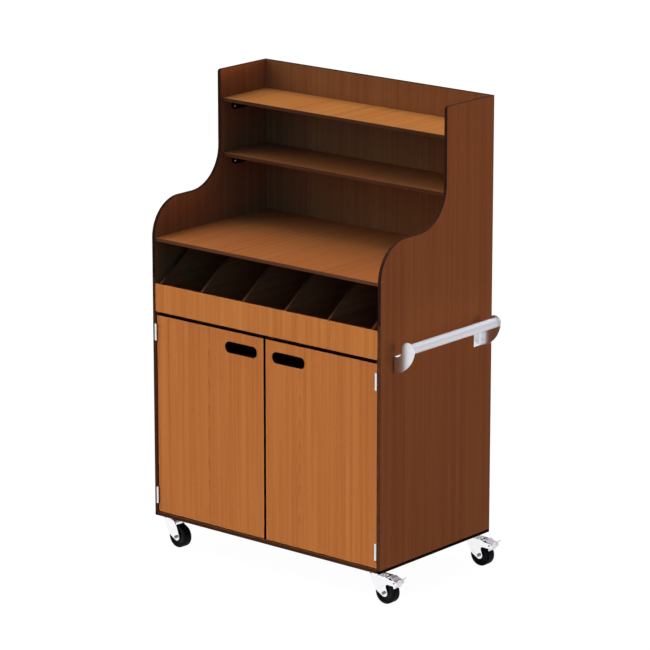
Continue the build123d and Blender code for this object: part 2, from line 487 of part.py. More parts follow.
for caster_name, (cx, cy, turn, braked) in CASTERS.items():
    ca, sa = cos(radians(turn)), sin(radians(turn))
    along = (ca, sa, 0)          # the way the wheel trails
    across = (-sa, ca, 0)        # along the axle

    # the caster's own frame: x along the trail, y along the axle, z up from the carcass underside
    def at(x, y, z):
        return (cx + x * ca - y * sa, cy + x * sa + y * ca, Z0 + z)

    # pressed steel fork: flat head with a dust skirt, front web and two legs
    outline = [(-21.0, FORK_TOP), (30.0, FORK_TOP), (44.0, -30.0), (50.0, -47.0), (55.7, -62.9)]
    if braked:
        outline = [(-21.0, FORK_TOP), (50.0, FORK_TOP), (58.0, -15.5), (66.0, -18.0), (84.0, -19.0), (93.0, -22.0), (97.5, -27.0), (97.0, -32.0),
                   (91.5, -36.0), (84.0, -37.3), (70.0, -37.0), (56.0, -36.5), (51.0, -39.0), (49.5, -46.0), (55.7, -62.9)]
    front_edge = [(36.4, -79.2), (4.0, -61.0), (-9.5, -43.0), (-16.5, -28.0)]
    with BuildPart() as fork:
        with BuildSketch(Plane(origin=at(0, FORK_IN + FORK_T, 0), x_dir=along, z_dir=(sa, -ca, 0))):
            Polygon(*(outline + front_edge), align=None)
            with Locations((TRAIL, AXLE_Z)):
                Circle(FORK_END_R)
        extrude(amount=2 * (FORK_IN + FORK_T))
        # the sheet is wrapped round the front: soft corners down the front web
        front_mids = [at((a[0] + b[0]) / 2, s * (FORK_IN + FORK_T), (a[1] + b[1]) / 2)
                      for a, b in (((-21.0, FORK_TOP), (-16.5, -28.0)), ((-16.5, -28.0), (-9.5, -43.0)), ((-9.5, -43.0), (4.0, -61.0)))
                      for s in (-1, 1)]
        fillet(fork.edges().filter_by(lambda e: any((e.center() - Vector(m)).length < 0.05 for m in front_mids)), radius=6.0)
        # open the channel between the legs, leaving the head and the front web
        with BuildSketch(Plane(origin=at(0, FORK_IN, 0), x_dir=along, z_dir=(sa, -ca, 0))):
            Polygon((-17.8, FORK_TOP - FORK_PLATE), (125.0, FORK_TOP - FORK_PLATE), (125.0, -125.0), (-60.0, -125.0),
                    (-60.0, -40.0), (-7.5, -40.0), (-13.3, -28.0), align=None)
        extrude(amount=2 * FORK_IN, mode=Mode.SUBTRACT)
        if braked:
            # the head ends behind the skirt, so that the pedal can swing between the legs' ears
            with BuildSketch(Plane(origin=at(0, FORK_IN, 0), x_dir=along, z_dir=(sa, -ca, 0))):
                Polygon((50.0, FORK_TOP + 2), (125.0, FORK_TOP + 2), (125.0, -60.0), (50.0, -60.0), align=None)
            extrude(amount=2 * FORK_IN, mode=Mode.SUBTRACT)
        for s in (-1, 1):
            peg(at(GROOVE_X, s * (FORK_IN + FORK_T + GROOVE_R - GROOVE_DEEP), -16.5), (0, 0, -1), GROOVE_R, 40.0, Mode.SUBTRACT)
        peg(at(0, 0, FORK_TOP), (0, 0, 1), SKIRT_R, SKIRT_H)
        peg(at(0, 0, FORK_TOP), (0, 0, 1), SKIRT_R - 1.5, SKIRT_H + 1.0, Mode.SUBTRACT)
        peg(at(0, 0, 0), (0, 0, -1), KING_R + 0.05, 30.0, Mode.SUBTRACT)
        peg(at(TRAIL, -30, AXLE_Z), across, 3.05, 60.0, Mode.SUBTRACT)
        if braked:
            peg(at(BRAKE_PIVOT[0], -30, BRAKE_PIVOT[1]), across, 3.05, 60.0, Mode.SUBTRACT)
    save(fork.part, "fork_" + caster_name)

    # axle bolt, its nut, and the sleeve that the wheel turns on
    with BuildPart() as axle:
        y_leg = FORK_IN + FORK_T
        with BuildSketch(Plane(origin=at(TRAIL, y_leg, AXLE_Z), x_dir=along, z_dir=across)):
            RegularPolygon(5.0, 6, major_radius=False)
        extrude(amount=5.3)
        peg(at(TRAIL, -y_leg - 8.5, AXLE_Z), across, 3.0, 2 * y_leg + 8.5)
        with BuildSketch(Plane(origin=at(TRAIL, -y_leg, AXLE_Z), x_dir=along, z_dir=(sa, -ca, 0))):
            RegularPolygon(5.0, 6, major_radius=False)
            Circle(3.02, mode=Mode.SUBTRACT)
        extrude(amount=6.5)
        with BuildSketch(Plane(origin=at(TRAIL, -FORK_IN + 0.1, AXLE_Z), x_dir=along, z_dir=across)):
            Circle(6.0)
            Circle(3.02, mode=Mode.SUBTRACT)
        extrude(amount=2 * FORK_IN - 0.2)
    save(axle.part, "axle_" + caster_name)

    # moulded wheel core with a raised hub and a dished web on each face
    with BuildPart() as core:
        with BuildSketch(Plane(origin=at(TRAIL, 0, AXLE_Z), x_dir=across, z_dir=along)):
            with BuildLine():
                Polyline((-16.4, 6.05), (16.4, 6.05), (16.4, 10.5), (10.0, 12.0), (8.0, 21.0), (12.0, 23.0), (12.0, 26.0),
                         (-12.0, 26.0), (-12.0, 23.0), (-8.0, 21.0), (-10.0, 12.0), (-16.4, 10.5), close=True)
            make_face()
        revolve(axis=Axis(at(TRAIL, 0, AXLE_Z), across))
    save(core.part, "wheel_core_" + caster_name)

    with BuildPart() as tyre:
        with BuildSketch(Plane(origin=at(TRAIL, 0, AXLE_Z), x_dir=across, z_dir=along)):
            with BuildLine():
                h = WHEEL_W / 2
                c = 4.0
                k = c * (1 - sin(radians(45)))
                Polyline((-h + 4.5, 26.0), (h - 4.5, 26.0), (h - 1.2, 28.0), (h, 31.0), (h, WHEEL_R - c))
                ThreePointArc((h, WHEEL_R - c), (h - k, WHEEL_R - k), (h - c, WHEEL_R))
                Line((h - c, WHEEL_R), (-h + c, WHEEL_R))
                ThreePointArc((-h + c, WHEEL_R), (-h + k, WHEEL_R - k), (-h, WHEEL_R - c))
                Polyline((-h, WHEEL_R - c), (-h, 31.0), (-h + 1.2, 28.0), (-h + 4.5, 26.0))
            make_face()
        revolve(axis=Axis(at(TRAIL, 0, AXLE_Z), across))
    save(tyre.part, "tyre_" + caster_name)

    # bent sheet foot pedal on a rivet through the fork's ears; its toe bears on the tread when it is pressed
    if braked:
        px, pz = BRAKE_PIVOT
        upper, lower_side = [], []
        for i, (x, z) in enumerate(PEDAL_PATH):
            x0, z0 = PEDAL_PATH[max(i - 1, 0)]
            x1, z1 = PEDAL_PATH[min(i + 1, len(PEDAL_PATH) - 1)]
            run = hypot(x1 - x0, z1 - z0)
            ox, oz = -(z1 - z0) / run * PEDAL_T / 2, (x1 - x0) / run * PEDAL_T / 2
            upper.append((x + ox, z + oz))
            lower_side.append((x - ox, z - oz))
        with BuildPart() as pedal:
            half = FORK_IN - 0.6
            with BuildSketch(Plane(origin=at(0, half, 0), x_dir=along, z_dir=(sa, -ca, 0))):
                Polygon(*(upper + lower_side[::-1]), align=None)
            extrude(amount=2 * half)
            # web under the sheet, with the rivet's boss and the toe over the tyre
            with BuildSketch(Plane(origin=at(0, half, 0), x_dir=along, z_dir=(sa, -ca, 0))):
                with Locations((px, pz)):
                    Circle(6.0)
                Polygon((px - 6.0, pz + 9.0), (px + 5.0, pz + 4.5), (px + 5.6, pz - 2.0), (px + 2.5, pz - 17.5), (px - 1.2, pz - 20.2), (px - 4.8, pz - 19.8),
                        (px - 5.8, pz - 2.0), align=None)
            extrude(amount=2 * half)
            peg(at(px, -FORK_IN - FORK_T - 1.4, pz), across, 3.0, 2 * (FORK_IN + FORK_T + 1.4))
        save(pedal.part, "brake_pedal_" + caster_name)
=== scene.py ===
import json
import math

import bmesh
import bpy
from mathutils import Euler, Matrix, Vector


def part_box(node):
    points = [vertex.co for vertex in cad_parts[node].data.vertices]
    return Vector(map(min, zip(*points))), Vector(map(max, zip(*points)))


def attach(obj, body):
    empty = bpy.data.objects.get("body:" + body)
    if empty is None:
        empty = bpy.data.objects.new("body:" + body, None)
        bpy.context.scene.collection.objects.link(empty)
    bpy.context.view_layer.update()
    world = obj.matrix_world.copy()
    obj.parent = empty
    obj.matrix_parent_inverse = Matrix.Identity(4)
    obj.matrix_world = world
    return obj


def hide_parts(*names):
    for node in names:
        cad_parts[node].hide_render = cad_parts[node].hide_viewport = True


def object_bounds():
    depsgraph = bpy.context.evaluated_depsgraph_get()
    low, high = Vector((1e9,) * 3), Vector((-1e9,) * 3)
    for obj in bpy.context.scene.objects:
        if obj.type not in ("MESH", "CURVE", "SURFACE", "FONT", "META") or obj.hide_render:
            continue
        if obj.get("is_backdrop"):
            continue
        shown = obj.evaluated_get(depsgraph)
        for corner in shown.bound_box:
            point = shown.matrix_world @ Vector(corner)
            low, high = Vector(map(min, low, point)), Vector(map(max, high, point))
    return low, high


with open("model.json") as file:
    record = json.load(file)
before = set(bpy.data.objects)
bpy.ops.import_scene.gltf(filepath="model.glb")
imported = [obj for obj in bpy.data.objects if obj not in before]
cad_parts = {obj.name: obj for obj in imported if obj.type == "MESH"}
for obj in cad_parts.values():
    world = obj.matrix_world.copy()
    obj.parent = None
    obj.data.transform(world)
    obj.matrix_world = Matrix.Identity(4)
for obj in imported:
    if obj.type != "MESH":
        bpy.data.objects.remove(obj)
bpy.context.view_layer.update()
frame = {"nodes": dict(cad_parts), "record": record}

NODES = frame["nodes"]
BODY = {n: b for b, ns in frame["record"]["behaviour"]["bodies"].items() for n in ns}

# carcass corner, in metres: front left lower corner of the boards
CX0, CY0, CZ0 = -0.5445, -0.2925, 0.107
CX1, CXM = 0.4555, -0.0445


# ---------------------------------------------------------------------------
# Small helpers for node materials
# ---------------------------------------------------------------------------
class Graph:
    """A material's node tree, with short calls for the nodes used here."""

    def __init__(self, name):
        self.mat = bpy.data.materials.new(name)
        self.mat.use_nodes = True
        self.t = self.mat.node_tree
        self.bsdf = next(n for n in self.t.nodes if n.type == "BSDF_PRINCIPLED")
        self.column = 0

    def node(self, kind, **settings):
        n = self.t.nodes.new(kind)
        self.column += 1
        n.location = (-300 - 180 * (self.column % 8), 300 - 160 * (self.column // 8))
        for k, v in settings.items():
            setattr(n, k, v)
        return n

    def put(self, socket, value):
        """Link an output, or set a plain value."""
        if isinstance(value, bpy.types.NodeSocket):
            self.t.links.new(value, socket)
        else:
            socket.default_value = value

    def math(self, op, a, b=0.0, c=0.0, clamp=False):
        n = self.node("ShaderNodeMath", operation=op, use_clamp=clamp)
        for i, v in enumerate((a, b, c)):
            self.put(n.inputs[i], v)
        return n.outputs[0]

    def place(self):
        """X, Y and Z of the piece's own frame, which is the unit's frame at rest."""
        tc = self.node("ShaderNodeTexCoord")
        s = self.node("ShaderNodeSeparateXYZ")
        self.put(s.inputs[0], tc.outputs["Object"])
        return s.outputs[0], s.outputs[1], s.outputs[2]

    def vec(self, x, y, z):
        n = self.node("ShaderNodeCombineXYZ")
        for i, v in enumerate((x, y, z)):
            self.put(n.inputs[i], v)
        return n.outputs[0]

    def stretch(self, v, scale, shift=(0, 0, 0)):
        n = self.node("ShaderNodeMapping", vector_type="POINT")
        self.put(n.inputs["Vector"], v)
        n.inputs["Scale"].default_value = scale
        n.inputs["Location"].default_value = shift
        return n.outputs[0]

    def noise(self, v, scale=1.0, detail=2.0, rough=0.5, distort=0.0):
        n = self.node("ShaderNodeTexNoise", noise_dimensions="3D")
        self.put(n.inputs["Vector"], v)
        n.inputs["Scale"].default_value = scale
        n.inputs["Detail"].default_value = detail
        n.inputs["Roughness"].default_value = rough
        n.inputs["Distortion"].default_value = distort
        return n.outputs[0]

    def span(self, v, a0, a1, b0, b1, clamp=True, smooth=False):
        n = self.node("ShaderNodeMapRange", clamp=clamp)
        n.interpolation_type = "SMOOTHSTEP" if smooth else "LINEAR"
        self.put(n.inputs[0], v)
        for i, x in enumerate((a0, a1, b0, b1)):
            self.put(n.inputs[i + 1], x)
        return n.outputs[0]

    def ramp(self, fac, stops, mode="LINEAR"):
        n = self.node("ShaderNodeValToRGB")
        n.color_ramp.interpolation = mode
        while len(n.color_ramp.elements) < len(stops):
            n.color_ramp.elements.new(0.5)
        for e, (pos, col) in zip(n.color_ramp.elements, stops):
            e.position = pos
            e.color = (*col, 1.0)
        self.put(n.inputs[0], fac)
        return n.outputs[0]

    def mix(self, fac, a, b, blend="MIX"):
        n = self.node("ShaderNodeMix", data_type="RGBA", blend_type=blend)
        sockets = [s for s in n.inputs if s.type == "RGBA"]
        self.put(n.inputs[0], fac)
        for s, v in zip(sockets, (a, b)):
            self.put(s, v if isinstance(v, bpy.types.NodeSocket) else (*v, 1.0))
        return next(s for s in n.outputs if s.type == "RGBA")

    def bump(self, height, strength, distance):
        n = self.node("ShaderNodeBump")
        n.inputs["Strength"].default_value = strength
        n.inputs["Distance"].default_value = distance
        self.put(n.inputs["Height"], height)
        self.put(self.bsdf.inputs["Normal"], n.outputs[0])

    def set(self, **sockets):
        names = {"color": "Base Color", "rough": "Roughness", "metal": "Metallic", "spec": "Specular IOR Level",
                 "coat": "Coat Weight", "coat_rough": "Coat Roughness", "aniso": "Anisotropic", "sheen": "Sheen Weight"}
        for k, v in sockets.items():
            s = self.bsdf.inputs[names[k]]
            if k == "color" and not isinstance(v, bpy.types.NodeSocket):
                v = (*v, 1.0)
            self.put(s, v)
        return self.mat


def tint(c, k):
    return tuple(min(1.0, x * k) for x in c)


# ---------------------------------------------------------------------------
# Woodgrain laminate. grain is the axis that the figure runs along and across the axis over the board.
# ---------------------------------------------------------------------------
WOOD_DARK = (0.268, 0.0820, 0.0230)
WOOD_MID = (0.343, 0.1180, 0.0310)
WOOD_LIGHT = (0.405, 0.1560, 0.0430)


def laminate(name, grain, across, seed, centre=0.0, figure=0.20, tone_and_painted_light=(1.0, 1.0, 1.0)):
    g = Graph(name)
    xyz = dict(zip("XYZ", g.place()))
    depth = next(a for a in "XYZ" if a not in (grain, across))
    u, v, w = xyz[across], xyz[grain], xyz[depth]
    p = g.vec(u, v, w)
    # slow drift of the figure, so that no line is dead straight
    drift = g.noise(g.stretch(p, (2.2, 0.50, 2.2), (seed, 1.7 * seed, 0.3 * seed)), detail=2.0)
    drift2 = g.noise(g.stretch(p, (16.0, 2.4, 16.0), (2.1 * seed, seed, 4.0)), detail=2.0)
    u1 = g.math("ADD", u, g.math("MULTIPLY_ADD", drift, 0.050, -0.025 - centre))
    # one narrow column of stacked peaks, with nearly straight lines on both sides of it
    away = g.math("ABSOLUTE", u1)
    arch = g.math("SQRT", g.math("MULTIPLY_ADD", u1, u1, 0.000081))
    phase = g.math("ADD", g.math("MULTIPLY_ADD", v, 10.5, g.math("MULTIPLY", arch, 105.0)), g.math("MULTIPLY_ADD", drift2, 2.2, seed))
    ring = g.math("FRACT", phase)
    ring = g.math("MULTIPLY", g.math("MULTIPLY", ring, ring), g.span(ring, 0.86, 1.0, 1.0, 0.0, smooth=True))
    ring = g.math("MULTIPLY", ring, g.span(away, 0.012, 0.060, 1.0, 0.45, smooth=True))
    # streaks, fibres and short dark flecks, each stretched along the grain
    streak = g.noise(g.stretch(p, (62.0, 0.62, 62.0), (seed * 3.1, 0.0, seed)), detail=4.0, rough=0.66)
    fibre = g.noise(g.stretch(p, (430.0, 5.0, 430.0), (seed, seed, 0.0)), detail=3.0, rough=0.65)
    fleck = g.noise(g.stretch(p, (880.0, 62.0, 880.0), (0.0, seed, seed)), detail=1.0)
    broad = g.noise(g.stretch(p, (6.0, 0.7, 6.0), (seed * 0.7, 5.0, 2.0)), detail=1.0)
    f = g.math("MULTIPLY_ADD", ring, -figure, 0.5 + 0.20 * figure)
    f = g.math("ADD", f, g.math("MULTIPLY_ADD", streak, 1.40, -0.70))
    f = g.math("ADD", f, g.math("MULTIPLY_ADD", fibre, 0.42, -0.21))
    f = g.math("ADD", f, g.math("MULTIPLY_ADD", broad, 0.20, -0.10))
    # The tone factor scales the three wood colours. It is a board's own tone, and on the worktop and upper display
    # shelf it is a lighter copy that is painted light from above.
    dark, mid, light = (tuple(c * k for c, k in zip(w_, tone_and_painted_light)) for w_ in (WOOD_DARK, WOOD_MID, WOOD_LIGHT))
    col = g.ramp(f, [(0.08, dark), (0.46, mid), (0.90, light)])
    ticks = g.span(fleck, 0.60, 0.72, 0.0, 1.0, smooth=True)
    col = g.mix(g.math("MULTIPLY", ticks, 0.30), col, tint(dark, 0.62))
    g.set(color=col, rough=g.span(fibre, 0.25, 0.75, 0.40, 0.54), spec=0.02)
    g.bump(g.math("MULTIPLY_ADD", ticks, -0.6, fibre), 0.16, 0.00025)
    return g.mat


def edge_band(name, long_axis, seed=0.0, tone_and_painted_light=(1.0, 1.0, 1.0)):
    """Dark brown edging: a plain satin strip, faintly streaked along its length, a little rubbed."""
    g = Graph(name)
    p = g.vec(*g.place())
    k = {"X": (4.0, 300.0, 300.0), "Y": (300.0, 4.0, 300.0), "Z": (300.0, 300.0, 4.0), "": (60.0, 60.0, 60.0)}[long_axis]
    streak = g.noise(g.stretch(p, k, (seed, seed, seed)), detail=3.0, rough=0.6)
    rub = g.noise(g.stretch(p, (34.0, 34.0, 34.0), (seed, 3.0, 1.0)), detail=4.0, rough=0.7)
    # The tone factor scales the edging colours. Most strips keep their own tone. The doors and bin deck get a
    # near-black copy that is painted shade, and the right side gets a lighter, cooler copy that is painted light.
    low, high, worn = (tuple(c * k for c, k in zip(b, tone_and_painted_light)) for b in ((0.028, 0.0100, 0.0052), (0.050, 0.0185, 0.0095), (0.085, 0.034, 0.018)))
    col = g.ramp(streak, [(0.25, low), (0.75, high)])
    col = g.mix(g.span(rub, 0.62, 0.80, 0.0, 0.30), col, worn)
    g.set(color=col, rough=g.span(rub, 0.3, 0.7, 0.50, 0.64), spec=0.01)
    g.bump(streak, 0.10, 0.00015)
    return g.mat


def plated(name, base, rough, brush="", seed=0.0, streaks=0.10, stain=(0.62, 0.64, 0.68), metal=1.0, grit=1.0):
    """Plated steel: faint clouding in the plating and fine scratches, along one axis if it was brushed."""
    g = Graph(name)
    p = g.vec(*g.place())
    k = {"X": (12.0, 900.0, 900.0), "Y": (900.0, 12.0, 900.0), "Z": (900.0, 900.0, 12.0), "": (420.0, 420.0, 420.0)}[brush]
    scratch = g.noise(g.stretch(p, k, (seed, seed, seed)), detail=3.0, rough=0.7)
    cloud = g.noise(g.stretch(p, (55.0, 55.0, 55.0), (seed, 2.0, 7.0)), detail=4.0, rough=0.6)
    col = g.mix(g.span(cloud, 0.40, 0.72, 0.0, 0.22), base, stain)
    col = g.mix(g.span(scratch, 0.58, 0.75, 0.0, streaks), col, tint(base, 0.55))
    r = g.math("ADD", g.span(cloud, 0.3, 0.7, rough - 0.05 * grit, rough + 0.06 * grit), g.math("MULTIPLY_ADD", scratch, 0.12 * grit, -0.06 * grit), clamp=True)
    g.set(color=col, rough=r, metal=metal)
    g.bump(scratch, 0.05 * grit, 0.0001)
    return g.mat


def moulded(name, base, rough, grit=900.0, depth=0.12, dust=0.10, spec=0.30):
    """Moulded plastic or rubber: fine surface grit, a trace of dust and scuffs."""
    g = Graph(name)
    p = g.vec(*g.place())
    grain = g.noise(g.stretch(p, (grit, grit, grit)), detail=2.0)
    scuff = g.noise(g.stretch(p, (70.0, 70.0, 70.0)), detail=5.0, rough=0.7)
    col = g.mix(g.span(scuff, 0.52, 0.80, 0.0, dust), g.ramp(grain, [(0.3, tint(base, 0.85)), (0.7, tint(base, 1.2))]), (0.09, 0.085, 0.08))
    g.set(color=col, rough=g.span(scuff, 0.3, 0.7, rough - 0.07, rough + 0.08), spec=spec)
    g.bump(grain, depth, 0.0002)
    return g.mat


def bare_wood(name):
    g = Graph(name)
    p = g.vec(*g.place())
    fibre = g.noise(g.stretch(p, (14.0, 700.0, 700.0)), detail=3.0, rough=0.6)
    g.set(color=g.ramp(fibre, [(0.3, (0.42, 0.27, 0.14)), (0.7, (0.62, 0.44, 0.26))]), rough=0.62)
    g.bump(fibre, 0.2, 0.0002)
    return g.mat


# ---------------------------------------------------------------------------
# Mesh helpers
# ---------------------------------------------------------------------------
def link(name, bm, mats, nodes, weighted=True):
    """A finished mesh that stands for one or more CAD nodes of one body."""
    me = bpy.data.meshes.new(name)
    bm.to_mesh(me)
    bm.free()
    for m in mats:
        me.materials.append(m)
    o = bpy.data.objects.new(name, me)
    bpy.context.scene.collection.objects.link(o)
    if weighted:
        w = o.modifiers.new("even_normals", "WEIGHTED_NORMAL")
        w.weight = 60
        w.keep_sharp = True
    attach(o, BODY[nodes[0]])
    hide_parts(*nodes)
    return o


AXES = {"X": (1, 2, 0), "Y": (0, 2, 1), "Z": (0, 1, 2)}


def board(name, node, axis, outline, lo, hi, face_mats, band, holes=(), arris=0.0008, foot=None):
    """A laminate-faced board: a flat outline, square to axis, from lo to hi, with edging and softly rounded arrises.
    face_mats are the finishes of the two flat faces, low side first. Below the height foot a dark strip runs round the board."""
    i, j, k = AXES[axis]

    def point(p, h):
        v = [0.0, 0.0, 0.0]
        v[i], v[j], v[k] = p[0], p[1], h
        return v

    bm = bmesh.new()
    rims = []
    for loop in (outline, *holes):
        vs = [bm.verts.new(point(p, lo)) for p in loop]
        rims.append([bm.edges.new((a, b)) for a, b in zip(vs, vs[1:] + vs[:1])])
    if holes:
        bmesh.ops.triangle_fill(bm, use_beauty=True, use_dissolve=False, edges=[e for r in rims for e in r])
    else:
        bmesh.ops.contextual_create(bm, geom=rims[0])
    made = bmesh.ops.extrude_face_region(bm, geom=bm.faces[:])
    for v in (g for g in made["geom"] if isinstance(g, bmesh.types.BMVert)):
        v.co[k] = hi
    bmesh.ops.recalc_face_normals(bm, faces=bm.faces[:])
    sharp = [e for e in bm.edges if len(e.link_faces) == 2 and e.calc_face_angle() > math.radians(25)]
    bmesh.ops.bevel(bm, geom=sharp, offset=arris, offset_type="OFFSET", segments=3, profile=0.5, affect="EDGES", clamp_overlap=True)
    if foot:
        bmesh.ops.bisect_plane(bm, geom=bm.verts[:] + bm.edges[:] + bm.faces[:], plane_co=(0, 0, foot), plane_no=(0, 0, 1))
    for f in bm.faces:
        f.smooth = True
        flat = f.normal[k]
        f.material_index = 1 if flat > 0.9999 else 0 if flat < -0.9999 else 2
        if foot and f.calc_center_median().z < foot:
            f.material_index = 3
    return link(name, bm, [face_mats[0], face_mats[1], band] + ([BAND_BOTTOM_DARK] if foot else []), [node])


def rectangle(a0, a1, b0, b1):
    return [(a0, b0), (a1, b0), (a1, b1), (a0, b1)]


def arc(cx, cy, r, a0, a1, n):
    return [(cx + r * math.cos(math.radians(a0 + (a1 - a0) * s / n)), cy + r * math.sin(math.radians(a0 + (a1 - a0) * s / n)))
            for s in range(n + 1)]


def polish(name, node, mat, soft=0.0004, segments=2, limit=32.0, merge=4e-6, flatten=0.6, ends=None):
    """The CAD piece's own shape with its flat faces made whole and its sharp edges softened.
    ends is (middle, reach, finish): the parts that stand out further than reach from the middle along Y."""
    bm = bmesh.new()
    bm.from_mesh(NODES[node].data)
    bmesh.ops.remove_doubles(bm, verts=bm.verts[:], dist=merge)
    bmesh.ops.dissolve_limit(bm, angle_limit=math.radians(flatten), use_dissolve_boundaries=False, verts=bm.verts[:], edges=bm.edges[:], delimit=set())
    sharp = [e for e in bm.edges if len(e.link_faces) == 2 and e.calc_face_angle() > math.radians(limit)]
    if soft:
        bmesh.ops.bevel(bm, geom=sharp, offset=soft, offset_type="OFFSET", segments=segments, profile=0.5, affect="EDGES", clamp_overlap=True)
    for f in bm.faces:
        f.smooth = True
        f.material_index = 1 if ends and abs(f.calc_center_median().y - ends[0]) > ends[1] else 0
    return link(name, bm, [mat] + ([ends[2]] if ends else []), [node])


def lathe(profile, origin, axis_dir, side_dir, steps, bm):
    """Turn a closed (along, radius) profile about an axis."""
    a, s = Vector(axis_dir).normalized(), Vector(side_dir).normalized()
    t = a.cross(s)
    rings = []
    for i in range(steps):
        th = 2 * math.pi * i / steps
        d = s * math.cos(th) + t * math.sin(th)
        rings.append([bm.verts.new(Vector(origin) + a * x + d * r) for x, r in profile])
    n = len(profile)
    for i in range(steps):
        r0, r1 = rings[i], rings[(i + 1) % steps]
        for j in range(n):
            bm.faces.new((r0[j], r0[(j + 1) % n], r1[(j + 1) % n], r1[j]))
    return bm


# ---------------------------------------------------------------------------
# Finishes
# ---------------------------------------------------------------------------
BAND_X = edge_band("edging_along_x", "X", 1.0)
BAND = edge_band("edging_curved", "", 4.0)
BAND_FRONT = edge_band("edging_shelf_fronts", "X", 5.0, tone_and_painted_light=(3.8, 3.4, 2.3))
BAND_TOP = edge_band("edging_worktop", "X", 7.0, tone_and_painted_light=(7.3, 6.3, 4.1))
# The edging of the doors and the bin deck is near black: painted shade standing in for the shadow in the gaps round the
# doors.
BAND_DOOR_PAINTED_SHADE = edge_band("edging_doors_painted_shade", "Z", 8.0, tone_and_painted_light=(0.22, 0.24, 0.24))
# The right side panel's edging is a lighter, cooler copy of the left side's: painted light on the same strip.
BAND_RIGHT_PAINTED_LIGHT = edge_band("edging_right_side_painted_light", "", 9.0, tone_and_painted_light=(1.55, 1.75, 1.75))
# A near-black band runs along the bottom edge of both side panels, up to 11.2 mm above their lower edge.
BAND_BOTTOM_DARK = edge_band("bottom_edge_dark_band", "Y", 10.0, tone_and_painted_light=(0.22, 0.25, 0.25))

# ---------------------------------------------------------------------------
# Boards
# ---------------------------------------------------------------------------
T = 0.012


def y_(mm):
    return CY0 + mm / 1000.0


def z_(mm):
    return CZ0 + mm / 1000.0


side_outline = [(y_(0), z_(0)), (y_(0), z_(985))]
side_outline += arc(y_(130), z_(985), 0.130, 180, 90, 40)[1:]
side_outline += arc(y_(200.4), z_(1255), 0.140, -90, 0, 44)
side_outline += arc(y_(350.4), z_(1506), 0.010, 180, 90, 10)
side_outline += [(y_(592), z_(1516)), (y_(592), z_(0))]
for word, x0, seed in (("left", CX0, 3.3), ("right", CX1 - T, 11.9)):
    inner = laminate(word + "_side_inner_laminate", "Z", "Y", seed + 5.0, centre=0.40)
    outer = laminate(word + "_side_outer_laminate", "Z", "Y", seed, centre=0.40)
    board(word + "_side_board", word + "_side_panel", "X", side_outline, x0, x0 + T,
          (outer, inner) if word == "left" else (inner, outer), BAND if word == "left" else BAND_RIGHT_PAINTED_LIGHT, foot=CZ0 + 0.0112)


def plank(name, node, axis, face_mats, band, arris=0.0008):
    """A plain rectangular board that fills its CAD node's box."""
    lo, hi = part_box(node)
    i, j, k = AXES[axis]
    return board(name, node, axis, rectangle(lo[i], hi[i], lo[j], hi[j]), lo[k], hi[k], face_mats, band, arris=arris)


back = laminate("back_laminate", "Z", "X", 7.7, centre=0.9)
plank("back_board", "back_panel", "Y", (back, back), BAND)
under = laminate("bottom_laminate", "X", "Y", 2.2)
plank("bottom_board", "bottom_panel", "Z", (under, under), BAND_X)
# The worktop's laminate tone is a little lighter than the other boards': painted light from above.
top = laminate("worktop_laminate_painted_light", "Y", "X", 5.4, centre=-0.9, tone_and_painted_light=(1.15, 1.09, 1.02))
plank("worktop_board", "worktop", "Z", (top, top), BAND_TOP)
deck = laminate("deck_laminate", "X", "Y", 9.1)
# The deck's edges use the near-black door edging: painted shade in the gap above the doors.
plank("bin_deck_board", "bin_deck", "Z", (deck, deck), BAND_DOOR_PAINTED_SHADE)
rail = laminate("rail_laminate", "Z", "X", 14.2, centre=0.9, tone_and_painted_light=(1.05, 1.10, 1.06))
plank("front_rail_board", "front_rail", "Y", (rail, rail), BAND_X, arris=0.0006)
# The upper display shelf's laminate tone is much lighter and yellower than the others': painted light standing in for
# the light that falls on it from above. The lower display shelf and cupboard shelf keep about the plain tone.
for node, seed, tone_and_painted_light in (("display_shelf_upper", 21.0, (1.42, 1.55, 1.28)), ("display_shelf_lower", 26.5, (0.96, 0.96, 0.96)), ("cupboard_shelf", 31.3, (1.0, 1.0, 1.0))):
    m = laminate(node + "_laminate", "Y", "X", seed, centre=0.9, tone_and_painted_light=tone_and_painted_light)
    plank(node + "_board", node, "Z", (m, m), BAND_FRONT)

# ---------------------------------------------------------------------------
# Divided bins
# ---------------------------------------------------------------------------
bin_band = edge_band("bin_edging", "Y", 6.0, tone_and_painted_light=(2.0, 2.1, 1.8))
bin_base = laminate("bin_floor_laminate", "Y", "X", 33.1, centre=0.9)
plank("bin_floor_board", "bin_floor", "Z", (bin_base, bin_base), bin_band)
bin_rear = laminate("bin_back_laminate", "X", "Z", 35.9, centre=2.0)
plank("bin_back_board", "bin_back", "Y", (bin_rear, bin_rear), bin_band)
bin_face = laminate("bin_wall_laminate", "Y", "Z", 37.7, centre=2.0)
wall = [(y_(14), z_(740)), (y_(14), z_(829.3)), (y_(2), z_(829.3)), (y_(2), z_(830.4)), (y_((973 - 829) / 0.70), z_(973)), (y_(570), z_(973)), (y_(570), z_(740))]
for node in ("bin_end_wall_left", "bin_divider_1", "bin_divider_2", "bin_divider_3", "bin_divider_4", "bin_end_wall_right"):
    lo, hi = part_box(node)
    board(node + "_board", node, "X", wall, lo[0], hi[0], (bin_face, bin_face), bin_band, arris=0.0005)

